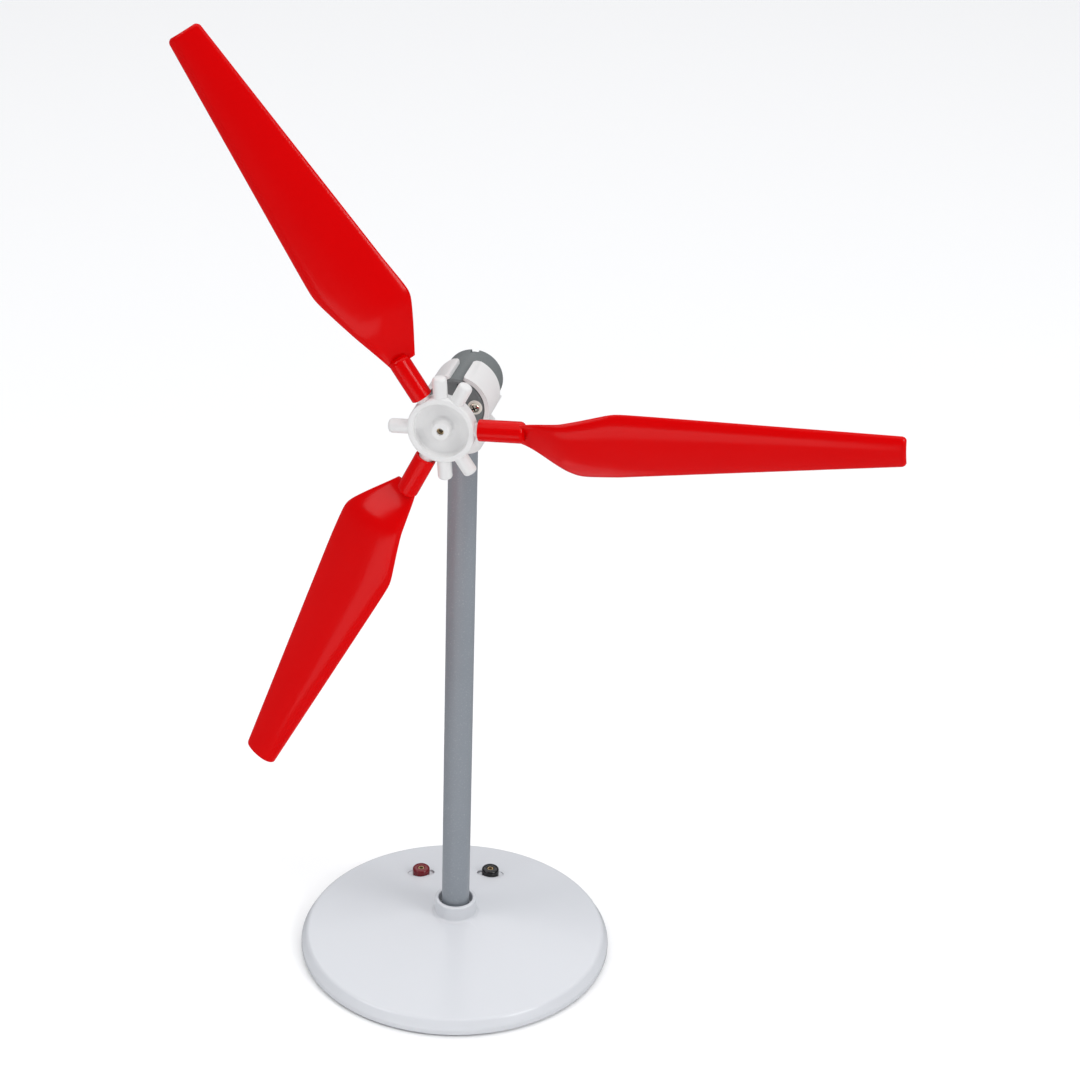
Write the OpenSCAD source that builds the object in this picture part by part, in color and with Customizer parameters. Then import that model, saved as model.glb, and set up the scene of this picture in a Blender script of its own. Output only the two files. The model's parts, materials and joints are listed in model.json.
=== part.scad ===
// Table-top wind turbine for classroom use: a round weighted base with two 2 mm sockets,
// a hollow mast, a swivelling motor head used as a generator, and a three-blade rotor.
// +Z is up, the rotor faces -Y, and the origin is on the mast axis where the base rests.

/* [Base] */
// Outside diameter of the base at its foot
base_d = 140; // [116:1:170]
// Height of the base's upright side above the table
base_side_h = 3.5; // [2:0.25:5]
// Height of the base's top edge above the table
base_edge_h = 7.75; // [7:0.25:12]
// Height where the sloping top meets the collar
base_crown_h = 17; // [15:0.5:24]
// Rounding of the top edge
base_edge_round = 3; // [1:0.5:4]
// How far the bevel above the side leans in
base_draft = 1.75; // [1.5:0.25:6]
// Wall of the moulded base shell
base_wall = 2.4; // [1.8:0.1:3.2]
// Wall of the collar round the mast
collar_wall = 1.8; // [1.2:0.1:4]
// Gap between the mast and the collar's rim
collar_gap = 1.45; // [0.6:0.05:2.4]
// Height of the collar's rim above the table
collar_top = 25; // [21:0.5:30]
// Bottom cover thickness
plate_t = 2; // [1.6:0.1:3]
// Non-slip pad thickness
pad_t = 1; // [0.6:0.1:2]
// Distance of the non-slip pad's edge inside the base's edge
pad_margin = 18; // [17:0.5:30]
// Turn of the base about the mast, away from square to the rotor
base_turn = 14; // [-60:1:60]

/* [Mast] */
// Outside diameter of the mast tube
mast_d = 12.4; // [10.5:0.1:14.5]
// Wall of the mast tube
mast_wall = 1.2; // [0.8:0.1:1.6]
// Height of the rotor axis above the table
hub_height = 275; // [230:1:330]

/* [Head] */
// Outside diameter of the motor housing
housing_d = 24.2; // [22:0.2:29]
// Length of the motor housing
housing_len = 33; // [30:0.5:40]
// Wall of the motor housing
housing_wall = 1.1; // [0.9:0.1:1.4]
// Wall of the cradle that holds the housing
cradle_wall = 1.75; // [1.4:0.05:2.6]
// Length of the cradle's two arms
arm_len = 19.6; // [14:0.2:24]
// Gap between the two arms, over the top of the housing
arm_gap_deg = 26; // [14:1:60]
// Wall of the neck at its lower end
neck_wall = 1.15; // [0.9:0.05:2.5]
// Depth of the mast in the neck
neck_depth = 9; // [7:0.5:12]
// Distance from the front of the housing to the mast axis
housing_lead = 14.2; // [12:0.1:18]

/* [Rotor] */
// Outside diameter of the hub's rim
hub_d = 27.7; // [24:0.1:34]
// Depth of the hub's rim, front to back
hub_depth = 6.2; // [6:0.1:10]
// Thickness of the hub's rim
hub_rim = 2.5; // [1.6:0.1:3]
// Distance from the hub's front to the front of the housing
hub_lead = 24.2; // [20:0.1:30]
// Diameter of the pegs that carry the blades
peg_d = 5.9; // [5:0.1:6.6]
// Length of a peg outside the rim
peg_len = 8.2; // [6:0.1:11]
// Turn of the rotor at rest
rotor_turn = 4; // [-30:1:30]
// Turn of blade 1 on its peg
blade_1_set = 2.5; // [-60:0.5:60]
// Turn of blade 2 on its peg
blade_2_set = -5; // [-60:0.5:60]
// Turn of blade 3 on its peg
blade_3_set = 3; // [-60:0.5:60]

/* [Blades] */
// Radius of the blade tips from the rotor axis
tip_r = 184; // [150:1:225]
// Radius of the shoulder, where the blade is widest
shoulder_r = 58; // [50:1:70]
// Radius of the elbow in the straight edge
elbow_r = 71; // [64:1:80]
// Distance from the blade axis to the shoulder edge
shoulder_c = 19; // [14:0.5:24]
// Distance from the blade axis to the elbow
elbow_c = 14.6; // [11:0.1:19]
// Distance from the blade axis to the tip's rear corner
tip_c_rear = 6.4; // [4:0.1:10]
// Distance from the blade axis to the tip's front corner
tip_c_front = 8; // [5:0.1:12]
// Thickness of the blade shell
blade_t = 1.8; // [1.2:0.1:2.4]
// How far the blade stands forward of its peg between root and tip
blade_bow = 4; // [0:0.5:8]
// Camber as a share of the chord
blade_camber = 0.09; // [0.02:0.01:0.15]
// Pitch of the blade at its tip
tip_pitch = 17; // [5:1:40]
// Pitch of the blade at its root
root_pitch = 26; // [5:1:50]
// Wall of the blade's root tube
root_tube_wall = 1.4; // [1:0.1:2.4]
// Length of the blade's root tube
root_tube_len = 19; // [15:0.5:23]
// Gap between the hub's rim and a blade's root tube
root_gap = 1.2; // [0.6:0.1:4]

/* [Sockets] */
// Bore of a socket, for 2 mm plugs
socket_bore = 2; // [2:0.1:4]
// Head diameter of a socket
socket_d = 8; // [7:0.1:9]
// Half the distance between the two sockets
socket_x = 16.2; // [14:0.1:20]
// Distance of the sockets behind the mast axis
socket_y = 37.5; // [34:0.5:44]
// Height of a socket's head above its seat
socket_head_h = 4.2; // [2:0.1:5]

/* [Hidden] */
$fn = 96;
eps = 0.02;
run_gap = 0.05;      // radial clearance of a running fit
seat_gap = 0.1;      // radial clearance of parts that drop in
cover_gap = 0.3;     // gap round the bottom cover
lift = 5;            // how far a cutter runs past what it cuts

base_r = base_d / 2;
shell_z = pad_t;
plate_top = shell_z + plate_t;
edge_r = base_r - base_draft;
collar_d = mast_d + 2 * (collar_gap + collar_wall);
flare_r = 2.2;       // how far the collar's foot spreads
flare_h = 2;         // height of the spread
crown_r = collar_d / 2 + flare_r;
slope = (base_crown_h - base_edge_h) / (edge_r - base_edge_round - crown_r);
function top_z(r) = base_edge_h + (edge_r - base_edge_round - r) * slope;

mast_r = mast_d / 2;
mast_bore_r = mast_r - mast_wall;
sleeve_r = mast_r + run_gap + 2.4;
collar_hole_r = mast_r + collar_gap;
collar_hole_h = 5;
housing_r = housing_d / 2;
cradle_in_r = housing_r + run_gap;
cradle_r = cradle_in_r + cradle_wall;
keel_z = hub_height - cradle_r - 1.4;
washer_t = 0.5;
neck_floor = keel_z + 0.6;
mast_top = neck_floor - washer_t;
neck_z = mast_top - neck_depth;
neck_d = mast_d + 2 * (run_gap + neck_wall);
funnel_r = housing_lead - 0.7; // radius of the neck's funnel at its top ledge
ledge_drop = cradle_r - 1.7; // how far the ledge lies below the rotor axis
keel_w = 9;          // width of the keel that joins the neck to the saddle
saddle_drop = 5.1;   // how far the saddle's back edges lie below the rotor axis
channel_w = 4.4;     // width of the wire channel under the housing
grub_r = 1.25;       // screw in the neck that keeps the head on the mast
wire_hole_r = 3;

// along the rotor axis: y of each plane, front to back
housing_y0 = -housing_lead;
housing_y1 = housing_y0 + housing_len;
hub_y0 = housing_y0 - hub_lead;
peg_y = hub_y0 + hub_depth / 2;
front_wall = 2;
cap_t = 1.8;
can_r = housing_r - housing_wall - seat_gap;
can_wall = 0.9;
can_y0 = housing_y0 + front_wall;
can_len = housing_len - front_wall - 5.5;
can_y1 = can_y0 + can_len;
bell_t = 2.6;
bell_y1 = can_y1 + 1.2;
cap_y0 = housing_y1 - cap_t;
boss_r = 3;
boss_len = 1.4;
shaft_r = 1;
bush_r = 2.4;
bush_len = 3.4;
bush_gap = 0.02;
adapter_r = 1.9;
screw_pitch_r = housing_r - 3.9;
screw_turn = -7;
motor_screw_r = 1.25;
hub_boss_r = 3.65;
hub_back_boss = 12.3;
hub_dish = 3;
hub_back_cut = 0.8;

// base fasteners and weight
screw_ring_r = base_r - 10.5;
cover_screw_r = 1.2;
cover_head_r = 2.6;
head_well_r = 2.9;
head_well_t = 1.1;
boss_post_r = 3.6;
boss_hole_top = base_edge_h - base_wall + 0.6;
boss_angles = [45:90:315];
ballast_out_r = screw_ring_r - boss_post_r - 3;
ballast_in_r = 22;
ballast_t = min(5, top_z(ballast_out_r) - base_wall - plate_top - 0.8);
mast_screw_z = 11;
mast_screw_r = 1.25;
wire_window_h = 6;
wire_window_w = 5;
wire_lane = 34;      // gap in the weight for the two wires

// sockets: the seat is a flat-bottomed pocket in the sloping top
socket_r0 = norm([socket_x, socket_y]);
pocket_depth = 1;
seat_z = top_z(socket_r0) - pocket_depth;
seat_pad_t = 2.4;
pocket_len = 12.6;
pocket_w = 5.6;
shank_r = 2.5;
nut_t = 2.2;
nut_af = 7;
contact_r = 1.55;
contact_len = socket_head_h + 6.4;
tag_z = seat_z + socket_head_h - 0.4 - contact_len;

// blades
root_tube_d = peg_d + 2 * (run_gap + root_tube_wall);
root_r0 = hub_d / 2 + root_gap;
peg_swell = 0.12;    // how much wider the peg's foot is
peg_foot = root_gap - 0.3; // the peg's foot tapers to its full fit over this length
root_r1 = root_r0 + root_tube_len;
root_r2 = root_r1 - 3;
root_c_rear = root_tube_d / 2 + 2.4;
root_c_front = root_tube_d / 2 - 0.2;
peg_r1 = hub_d / 2 + peg_len;
root_bore_end = peg_r1 + 2;
tip_round = 2;       // rounding of the tip's corners
camber_run = 24;     // length over which the camber grows from nothing at the root
bow_run = 20;        // length over which the blade steps forward from the root
blade_turns = [0, 120, 240];
blade_sets = [blade_1_set, blade_2_set, blade_3_set];
peg_turns = [0, 60, 90, 120, 180, 240, 270, 300];

// ---------- helpers ----------

// Turns a piece that is made upright, +Z, to lie along the rotor axis from y
module along_y(y) {
  translate([0, y, hub_height]) rotate([-90, 0, 0]) children();
}

// Places what belongs to the base in the base's own turn
module in_base() {
  rotate([0, 0, base_turn]) children();
}

// A ring with square edges
module ring(r_out, r_in, h) {
  difference() {
    cylinder(r = r_out, h = h);
    translate([0, 0, -1]) cylinder(r = r_in, h = h + 2);
  }
}

// A pan-head screw, head up, with a cross recess; its seat is at z = 0
module pan_screw(r, head_r, head_h, len) {
  difference() {
    union() {
      translate([0, 0, -len]) cylinder(r = r, h = len + eps, $fn = 32);
      rotate_extrude($fn = 48)
        polygon([[0, 0], [head_r, 0], [head_r, head_h * 0.45], [head_r * 0.8, head_h * 0.85],
                 [head_r * 0.5, head_h], [0, head_h]]);
    }
    for (a = [0, 90])
      rotate([0, 0, a]) translate([-head_r * 0.5, -0.3, head_h * 0.35])
        cube([head_r, 0.6, head_h]);
  }
}

// Points of a circle of n sides, at ring p, square to direction d
function side_of(d) = abs(d[2]) > 0.8 ? [1, 0, 0] : [0, 0, 1];
function unit(v) = v / norm(v);
function ring_points(p, d, r, n) =
  let (u = unit(cross(side_of(d), d)), w = cross(unit(d), u))
  [for (k = [0:n - 1]) p + r * (cos(360 * k / n) * u + sin(360 * k / n) * w)];

// ---------- base ----------

// Profile of the shell's outside: side wall, bevel, rounded edge, slope, flare and collar
edge_mid = [edge_r - base_edge_round, base_edge_h - base_edge_round];
bevel_run = [base_r, base_side_h] - edge_mid;
bevel_a = acos(base_edge_round / norm(bevel_run)) + atan2(bevel_run[1], bevel_run[0]);
function edge_arc() = [for (k = [0:4]) let (a = bevel_a + (85 - bevel_a) * k / 4)
  edge_mid + base_edge_round * [cos(a), sin(a)]];
function flare_arc() = [for (a = [0:15:75])
  [crown_r - flare_r * sin(a), base_crown_h + flare_h * (1 - cos(a))]];

module shell_solid() {
  rotate_extrude($fn = 180)
    polygon(concat(
      [[0, shell_z], [base_r, shell_z], [base_r, base_side_h]],
      edge_arc(),
      [[edge_r - base_edge_round, base_edge_h]],
      flare_arc(),
      [[collar_d / 2, base_crown_h + flare_h], [collar_d / 2, collar_top - 0.8],
       [collar_d / 2 - 0.8, collar_top], [0, collar_top]]));
}

module shell_hollow() {
  inner_r = base_r - base_wall;
  rotate_extrude($fn = 180)
    polygon([[0, shell_z - lift], [inner_r, shell_z - lift], [inner_r, plate_top],
             [edge_r - base_edge_round, base_edge_h - base_wall],
             [crown_r, base_crown_h - base_wall], [0, base_crown_h - base_wall]]);
}

module socket_pocket() {
  for (s = [-1, 1])
    translate([s * socket_x, socket_y, seat_z])
      linear_extrude(lift)
        for (e = [-1, 1])
          translate([e * (pocket_len - pocket_w) / 2, 0]) circle(d = pocket_w, $fn = 40);
  for (s = [-1, 1])
    translate([s * socket_x - (pocket_len - pocket_w) / 2, socket_y - pocket_w / 2, seat_z])
      cube([pocket_len - pocket_w, pocket_w, lift]);
}

module base_shell() {
  color("white") in_base() difference() {
    union() {
      difference() {
        shell_solid();
        shell_hollow();
      }
      intersection() {
        shell_solid();
        union() {
          translate([0, 0, plate_top]) cylinder(r = sleeve_r, h = collar_top);
          for (a = boss_angles)
            rotate([0, 0, a]) translate([screw_ring_r, 0, plate_top])
              cylinder(r = boss_post_r, h = base_edge_h, $fn = 40);
          for (s = [-1, 1])
            translate([s * socket_x, socket_y, seat_z - seat_pad_t])
              cylinder(r = pocket_len / 2 + 1.6, h = lift);
        }
      }
    }
    translate([0, 0, -lift]) cylinder(r = mast_r + run_gap, h = collar_top + 2 * lift);
    translate([0, 0, collar_top - collar_hole_h]) cylinder(r = collar_hole_r, h = lift + collar_hole_h);
    translate([-wire_window_w / 2, 0, 0]) cube([wire_window_w, sleeve_r + lift, plate_top + wire_window_h]);
    for (a = boss_angles)
      rotate([0, 0, a]) translate([screw_ring_r, 0, 0])
        cylinder(r = cover_screw_r, h = boss_hole_top, $fn = 32);
    socket_pocket();
    for (s = [-1, 1])
      translate([s * socket_x, socket_y, 0]) {
        cylinder(r = shank_r + seat_gap, h = 3 * lift, $fn = 40);
        translate([0, 0, seat_z]) cylinder(r = socket_d / 2 + 0.2, h = lift, $fn = 48);
      }
    translate([0, 0, mast_screw_z]) rotate([0, -90, 0])
      cylinder(r = mast_screw_r, h = sleeve_r + 2, $fn = 32);
  }
}

module base_cover() {
  color("whitesmoke") in_base() difference() {
    translate([0, 0, shell_z]) cylinder(r = base_r - base_wall - cover_gap, h = plate_t);
    for (a = boss_angles)
      rotate([0, 0, a]) translate([screw_ring_r, 0, shell_z]) {
        translate([0, 0, -1]) cylinder(r = cover_screw_r + cover_gap, h = plate_t + 2, $fn = 32);
        translate([0, 0, -1]) cylinder(r = head_well_r, h = head_well_t + 1, $fn = 40);
      }
  }
}

module non_slip_pad() {
  color("dimgray") cylinder(r = base_r - pad_margin, h = pad_t);
}

module ballast_weight() {
  color("slategray") in_base() difference() {
    translate([0, 0, plate_top]) ring(ballast_out_r, ballast_in_r, ballast_t);
    translate([-socket_x - 12, socket_y - 11, 0]) cube([2 * socket_x + 24, base_r, base_d]);
    translate([-wire_lane / 2, 0, 0]) cube([wire_lane, socket_y, base_d]);
  }
}

module cover_screws() {
  color("silver") in_base() for (a = boss_angles)
    rotate([0, 0, a]) translate([screw_ring_r, 0, shell_z + head_well_t]) rotate([180, 0, 0])
      pan_screw(cover_screw_r, cover_head_r, 1, boss_hole_top - shell_z - head_well_t - 0.4);
}

// ---------- sockets ----------

module at_socket(side) {
  in_base() translate([side * socket_x, socket_y, 0]) children();
}

module socket_body(side) {
  at_socket(side) difference() {
    union() {
      translate([0, 0, seat_z]) rotate_extrude($fn = 48)
        polygon(concat([[0, 0], [socket_d / 2, 0]],
          [for (a = [0:15:90]) [socket_d / 2 - 1.2 + 1.2 * cos(a), socket_head_h - 1.2 + 1.2 * sin(a)]],
          [[0, socket_head_h]]));
      translate([0, 0, seat_z - seat_pad_t - nut_t - 0.6])
        cylinder(r = shank_r, h = seat_pad_t + nut_t + 0.6 + eps, $fn = 40);
    }
    cylinder(r = contact_r + run_gap, h = seat_z + socket_head_h - 0.4, $fn = 40);
    cylinder(r = socket_bore / 2 + 0.25, h = seat_z + 3 * lift, $fn = 40);
  }
}

module socket_contact(side) {
  at_socket(side) difference() {
    union() {
      translate([0, 0, tag_z]) cylinder(r = contact_r, h = contact_len, $fn = 40);
      translate([-0.9, -3.4, tag_z]) cube([1.8, 3.4, 0.6]);
    }
    translate([0, 0, tag_z - 1]) cylinder(r = socket_bore / 2, h = contact_len + 2, $fn = 40);
  }
}

module socket_nut(side) {
  at_socket(side) translate([0, 0, seat_z - seat_pad_t - nut_t]) difference() {
    cylinder(d = nut_af / cos(30), h = nut_t, $fn = 6);
    translate([0, 0, -1]) cylinder(r = shank_r + run_gap, h = nut_t + 2, $fn = 40);
  }
}

module red_socket_body() { color("firebrick") socket_body(-1); }
module red_socket_contact() { color("gold") socket_contact(-1); }
module red_socket_nut() { color("silver") socket_nut(-1); }
module black_socket_body() { color("#202020") socket_body(1); }
module black_socket_contact() { color("gold") socket_contact(1); }
module black_socket_nut() { color("silver") socket_nut(1); }

// ---------- wires ----------

wire_r = 0.6;
wire_x = 1;          // half the distance between the two wires in the mast
terminal_x = 5;
terminal_y = bell_y1 + 0.9;
terminal_z = hub_height - 1.2;
channel_z = hub_height - housing_r + 0.5;

// Route in the base, in the base's own turn: socket tag to the foot of the mast
function wire_foot(side) = [
  [side * socket_x, socket_y - 3.5, tag_z + 0.3],
  [side * socket_x, socket_y - 6, tag_z + 0.3],
  [side * (socket_x - 3), socket_y - 12, plate_top + 1.2],
  [side * 8, 20, plate_top + 1.2],
  [side * 2.4, 12, plate_top + 1.2],
  [side * wire_x, 7, plate_top + 1.6],
  [side * wire_x, 2.5, plate_top + 3.2],
  [side * wire_x, 0.6, plate_top + 6],
  [side * wire_x, 0, plate_top + 10]
];
// Route in the head: up the mast, back along the channel under the housing, up to a terminal
function wire_head(side) = [
  [side * wire_x, 0, mast_top - 20],
  [side * wire_x, 0, mast_top - 3],
  [side * wire_x, 0.6, neck_floor + 1],
  [side * wire_x, 2.4, channel_z - 1.6],
  [side * wire_x, 5, channel_z - 1.1],
  [side * wire_x, terminal_y - 4, channel_z - 1.1],
  [side * wire_x, terminal_y - 0.9, channel_z - 0.4],
  [side * 1.4, terminal_y, channel_z + 2],
  [side * 3, terminal_y, channel_z + 5],
  [side * terminal_x, terminal_y, terminal_z - 4],
  [side * terminal_x, terminal_y, terminal_z - 1.6]
];
function turned(p, a) = [p[0] * cos(a) - p[1] * sin(a), p[0] * sin(a) + p[1] * cos(a), p[2]];
function wire_route(side) = concat(
  [for (p = wire_foot(side)) turned(p, base_turn)], wire_head(side));

module swept_tube(route, r, n) {
  last = len(route) - 1;
  rings = [for (i = [0:last])
    ring_points(route[i], unit(route[min(i + 1, last)] - route[max(i - 1, 0)]), r, n)];
  faces = concat(
    [[for (k = [0:n - 1]) k]],
    [for (i = [0:last - 1]) for (k = [0:n - 1])
      [i * n + k, (i + 1) * n + k, (i + 1) * n + (k + 1) % n, i * n + (k + 1) % n]],
    [[for (k = [n - 1:-1:0]) last * n + k]]);
  polyhedron(points = [for (q = rings) for (p = q) p], faces = faces, convexity = 8);
}

module red_wire() { color("red") swept_tube(wire_route(-1), wire_r, 8); }
module black_wire() { color("#202020") swept_tube(wire_route(1), wire_r, 8); }

// ---------- mast ----------

groove_z = neck_z + neck_depth / 2;
groove_h = 3.4;
groove_d = 0.4;

module mast_tube() {
  color("slategray") difference() {
    translate([0, 0, plate_top]) cylinder(r = mast_r, h = mast_top - plate_top);
    cylinder(r = mast_bore_r, h = mast_top + lift);
    in_base() {
      translate([-wire_window_w / 2, 0, 0]) cube([wire_window_w, mast_r + 1, plate_top + wire_window_h]);
      translate([0, 0, mast_screw_z]) rotate([0, -90, 0])
        cylinder(r = mast_screw_r, h = mast_r + 1, $fn = 32);
    }
    translate([0, 0, groove_z - groove_h / 2]) ring(mast_r + 1, mast_r - groove_d, groove_h);
  }
}

module mast_screw() {
  color("silver") in_base() translate([-sleeve_r, 0, mast_screw_z]) rotate([0, -90, 0])
    pan_screw(mast_screw_r, 2.6, 1.6, sleeve_r - mast_bore_r + 0.6);
}

module swivel_washer() {
  color("ivory") translate([0, 0, mast_top]) ring(mast_r - 0.2, mast_bore_r + 0.2, washer_t);
}

// ---------- head ----------

module motor_cradle() {
  gap_x = 2 * cradle_r * tan(arm_gap_deg / 2);
  color("white") difference() {
    union() {
      along_y(housing_y0) cylinder(r = cradle_r, h = 2 * housing_lead, $fn = 120);
      translate([0, 0, neck_z])
        cylinder(r1 = neck_d / 2, r2 = funnel_r, h = hub_height - ledge_drop - neck_z);
      translate([-keel_w / 2, housing_y0 + 1.5, keel_z]) cube([keel_w, 2 * housing_lead - 1.5, 4]);
    }
    along_y(housing_y0 - lift) cylinder(r = cradle_in_r, h = housing_len + 2 * lift, $fn = 120);
    translate([-2 * cradle_r, housing_y0 + arm_len, hub_height - saddle_drop])
      cube([4 * cradle_r, housing_len, 2 * cradle_r]);
    along_y(housing_y0 - lift) linear_extrude(housing_len + 2 * lift) polygon([
      [0, 0], [-gap_x, -2 * cradle_r], [gap_x, -2 * cradle_r]]);
    translate([0, 0, neck_z - lift]) cylinder(r = mast_r + run_gap, h = neck_floor - neck_z + lift);
    translate([0, 0, neck_floor - 1]) cylinder(r = wire_hole_r, h = 3 * lift, $fn = 48);
    translate([-channel_w / 2, 0, channel_z - 2.1]) cube([channel_w, housing_lead + lift, 4]);
    translate([0, 0, groove_z]) rotate([-90, 0, 0])
      cylinder(r = grub_r + run_gap, h = neck_d, $fn = 32);
  }
}

module neck_screw() {
  tip = mast_r - groove_d + 0.15;
  color("silver") translate([0, tip, groove_z]) rotate([-90, 0, 0]) difference() {
    union() {
      cylinder(r = 0.9, h = 0.6, $fn = 32);
      translate([0, 0, 0.5]) cylinder(r = grub_r, h = neck_d / 2 - tip - 0.3, $fn = 32);
    }
    translate([0, 0, neck_d / 2 - tip - 0.9]) cylinder(r = 0.7, h = 2, $fn = 6);
  }
}

module motor_housing() {
  color("dimgray") difference() {
    along_y(housing_y0) rotate_extrude($fn = 120)
      polygon([[0, 0], [housing_r - 0.8, 0], [housing_r, 0.8], [housing_r, housing_len - 0.6],
               [housing_r - 0.6, housing_len], [0, housing_len]]);
    along_y(can_y0) cylinder(r = housing_r - housing_wall, h = housing_len);
    along_y(housing_y0 - 1) cylinder(r = boss_r + seat_gap, h = front_wall + 2);
    for (s = [0, 180])
      along_y(housing_y0 - 1) rotate([0, 0, screw_turn + s]) translate([screw_pitch_r, 0, 0])
        cylinder(r = motor_screw_r + seat_gap, h = front_wall + 2, $fn = 32);
    translate([0.8, housing_y0 - 1, hub_height + housing_r - housing_wall - 1.2]) rotate([-90, 0, 0])
      cylinder(r = 0.6, h = front_wall + 0.4, $fn = 24);
    translate([-1.4, housing_y1 - 4, hub_height]) cube([3.2, lift, housing_r + 1]);
    translate([-channel_w / 2, -1.5, hub_height - housing_r - 1])
      cube([channel_w, cap_y0 + 1.5, housing_wall + 1.3]);
  }
}

module housing_rear_cap() {
  color("dimgray") difference() {
    along_y(cap_y0) cylinder(r = housing_r - housing_wall - seat_gap, h = cap_t);
    along_y(housing_y1 - 0.5) ring(housing_r - 4, housing_r - 5.2, 2);
  }
}

module motor_screws() {
  for (s = [0, 180])
    color("silver") along_y(housing_y0) rotate([0, 0, screw_turn + s]) translate([screw_pitch_r, 0, 0])
      rotate([180, 0, 0]) {
        pan_screw(motor_screw_r, 2.4, 1.9, front_wall + can_wall + 1.2);
        ring(3.05, motor_screw_r, 0.5);
      }
}

// ---------- motor ----------

module motor_can() {
  color("silver") difference() {
    union() {
      along_y(can_y0) cylinder(r = can_r, h = can_len);
      along_y(can_y0 - boss_len) cylinder(r = boss_r, h = boss_len + eps, $fn = 48);
    }
    along_y(can_y0 + can_wall) cylinder(r = can_r - can_wall, h = can_len);
    along_y(can_y0 - boss_len - 1) cylinder(r = bush_r, h = boss_len + 4, $fn = 48);
    for (s = [0, 180])
      along_y(can_y0 - 1) rotate([0, 0, screw_turn + s]) translate([screw_pitch_r, 0, 0])
        cylinder(r = motor_screw_r, h = 3, $fn = 32);
  }
}

magnet_t = 2.4;

module motor_magnets() {
  color("#303030") for (s = [0, 180])
    along_y(can_y0 + 4) rotate([0, 0, s - 62]) rotate_extrude(angle = 124, $fn = 96)
      translate([can_r - can_wall - magnet_t, 0]) square([magnet_t, can_len - 8.5]);
}

module motor_end_bell() {
  color("whitesmoke") difference() {
    along_y(bell_y1 - bell_t) cylinder(r = can_r - can_wall, h = bell_t);
    along_y(bell_y1 - bell_t - 1) cylinder(r = bush_r, h = bell_t + 2, $fn = 48);
    for (s = [-1, 1])
      translate([s * terminal_x - 0.8, bell_y1 - bell_t - 1, terminal_z - 1.5]) cube([1.6, bell_t + 2, 3]);
  }
}

module bush() {
  ring(bush_r, shaft_r + bush_gap, bush_len);
}

module front_bush() { color("peru") along_y(can_y0 - boss_len + 0.1) bush(); }
module rear_bush() { color("peru") along_y(bell_y1 - bush_len + 0.4) bush(); }

brush_y = bell_y1 - bell_t - 2.6;
comm_r = 2.6;
comm_len = 3.6;
brush_gap = 0.4;     // keeps the brushes clear of the commutator's bars
brush_len = 1.8;

module motor_brushes() {
  color("#404040") for (s = [-1, 1])
    translate([s * (comm_r + brush_gap + brush_len / 2) - brush_len / 2, brush_y - 1, hub_height - 1])
      cube([brush_len, 2, 2]);
}

module motor_terminals() {
  leaf_x = comm_r + brush_gap + brush_len;
  leaf_w = terminal_x + 0.7 - leaf_x;
  color("gold") for (s = [-1, 1]) {
    translate([s * terminal_x - 0.7, bell_y1 - bell_t - 0.4, terminal_z - 1.4])
      cube([1.4, bell_t + 1.6, 2.8]);
    translate([s > 0 ? leaf_x : -leaf_x - leaf_w, brush_y - 1, hub_height - 1]) {
      cube([leaf_w, 0.5, 2]);
      cube([leaf_w, 3.6, 0.6]);
    }
  }
}

// ---------- rotor ----------

module spin() {
  translate([0, 0, hub_height]) rotate([0, -rotor_turn, 0]) translate([0, 0, -hub_height]) children();
}

module motor_shaft() {
  color("silver") along_y(hub_y0 + 2) cylinder(r = shaft_r, h = bell_y1 + 0.3 - hub_y0 - 2, $fn = 40);
}

armature_y0 = can_y0 + 4;
winding_over = 1.3;  // how far the windings stand out of the core at each end
armature_len = can_len - 11.5;
core_r = can_r - can_wall - magnet_t - 0.5;
slot_r = (core_r + shaft_r) / 2 - 0.55;
winding_r = (core_r - shaft_r) / 2 - 1.45;

module armature_core() {
  color("slategray") spin() difference() {
    along_y(armature_y0) cylinder(r = core_r, h = armature_len);
    for (a = [30:120:270])
      along_y(armature_y0 - 1) rotate([0, 0, a]) {
        translate([slot_r + 0.2, -1, 0]) cube([core_r, 2, armature_len + 2]);
        translate([slot_r, 0, 0]) cylinder(r = winding_r + seat_gap, h = armature_len + 2, $fn = 32);
      }
    along_y(armature_y0 - 1) cylinder(r = shaft_r, h = armature_len + 2, $fn = 40);
  }
}

module armature_windings() {
  color("chocolate") spin() for (a = [30:120:270])
    along_y(armature_y0 - winding_over) rotate([0, 0, a])
      translate([slot_r, 0, 0]) cylinder(r = winding_r, h = armature_len + 2 * winding_over, $fn = 32);
}

module commutator() {
  color("peru") spin() difference() {
    along_y(brush_y - comm_len / 2) cylinder(r = comm_r, h = comm_len, $fn = 48);
    along_y(brush_y - 4) cylinder(r = shaft_r, h = 8, $fn = 40);
    for (a = [0:120:240])
      along_y(brush_y - 4) rotate([0, 0, a]) translate([comm_r - 0.5, -0.15, 0]) cube([1, 0.3, 8]);
  }
}

module shaft_adapter() {
  color("goldenrod") along_y(hub_y0 + 0.6) ring(adapter_r, shaft_r, hub_depth + hub_back_boss - 3);
}

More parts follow.
